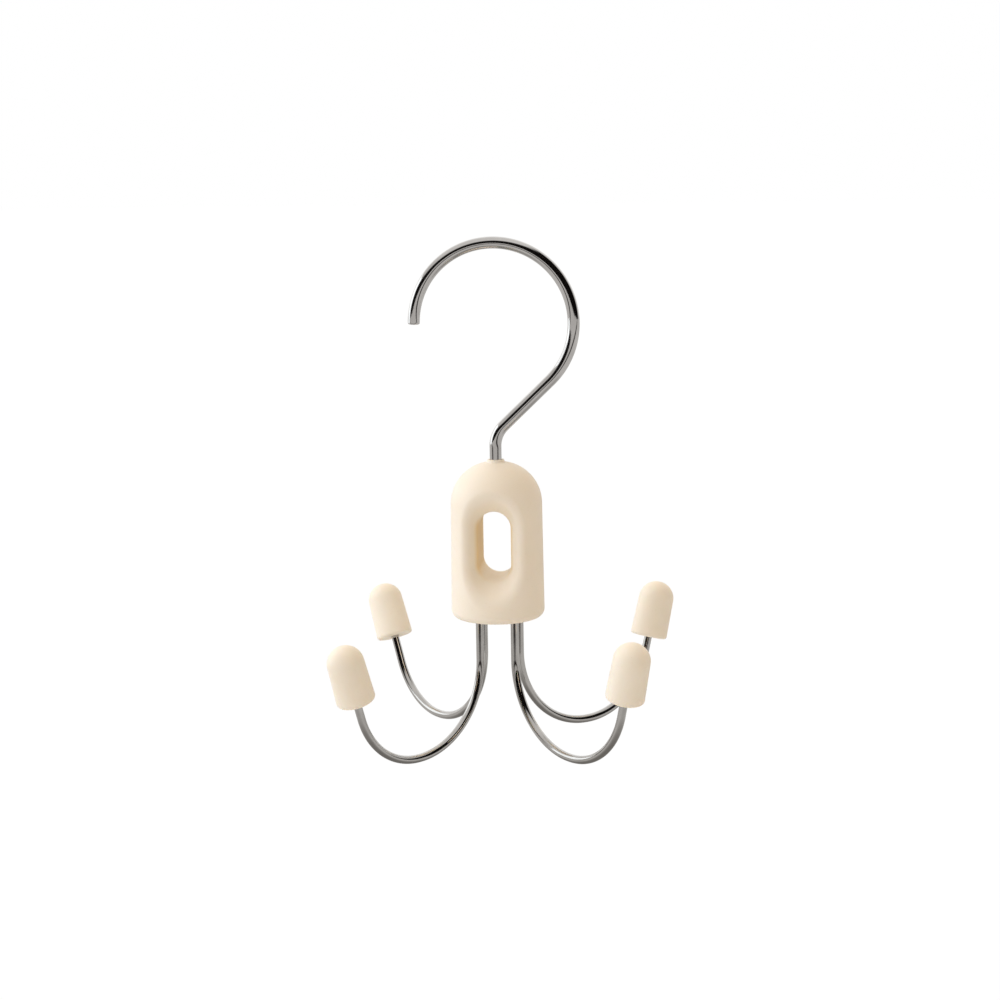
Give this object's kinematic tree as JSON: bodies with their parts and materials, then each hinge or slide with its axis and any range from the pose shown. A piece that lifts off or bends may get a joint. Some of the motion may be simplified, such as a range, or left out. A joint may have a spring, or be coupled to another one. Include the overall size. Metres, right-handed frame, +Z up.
{
  "type": "tie hanger",
  "caption": "Small hanger with a turning wire hook, a slotted ivory body and J-shaped plated wire arms with soft caps, for ties and belts.",
  "frame": {"origin": "where the inside top of the hook's loop rests on a rail, on the axis that the body turns around", "axes": "+Z up along the turning axis, +X to the side that the loop's slanted stretch leans to, -Y towards the front of the slot"},
  "size_m": [0.1059, 0.1121, 0.1637],
  "materials": {
    "plated_wire": "bright nickel or chrome plate on drawn steel wire",
    "ivory_plastic": "satin moulded",
    "cap_vinyl": "soft satin",
    "washer_steel": "plain stamped"
  },
  "bodies": {
    "hook": {"hook": "plated_wire", "hook_washer": "washer_steel"},
    "hanger": {"front_shell": "ivory_plastic", "rear_shell": "ivory_plastic", "hook_bush": "ivory_plastic", "arm_base": "ivory_plastic", "arm_keeper": "washer_steel", "arm_front_left": "plated_wire", "arm_front_right": "plated_wire", "arm_rear_left": "plated_wire", "arm_rear_right": "plated_wire", "cap_front_left": "cap_vinyl", "cap_front_right": "cap_vinyl", "cap_rear_left": "cap_vinyl", "cap_rear_right": "cap_vinyl"}
  },
  "joints": [
    {"name": "hook_swivel", "type": "hinge", "parent": "hook", "child": "hanger", "pos_m": [0, 0, -0.072], "axis": [0, 0, 1], "continuous": true}
  ]
}
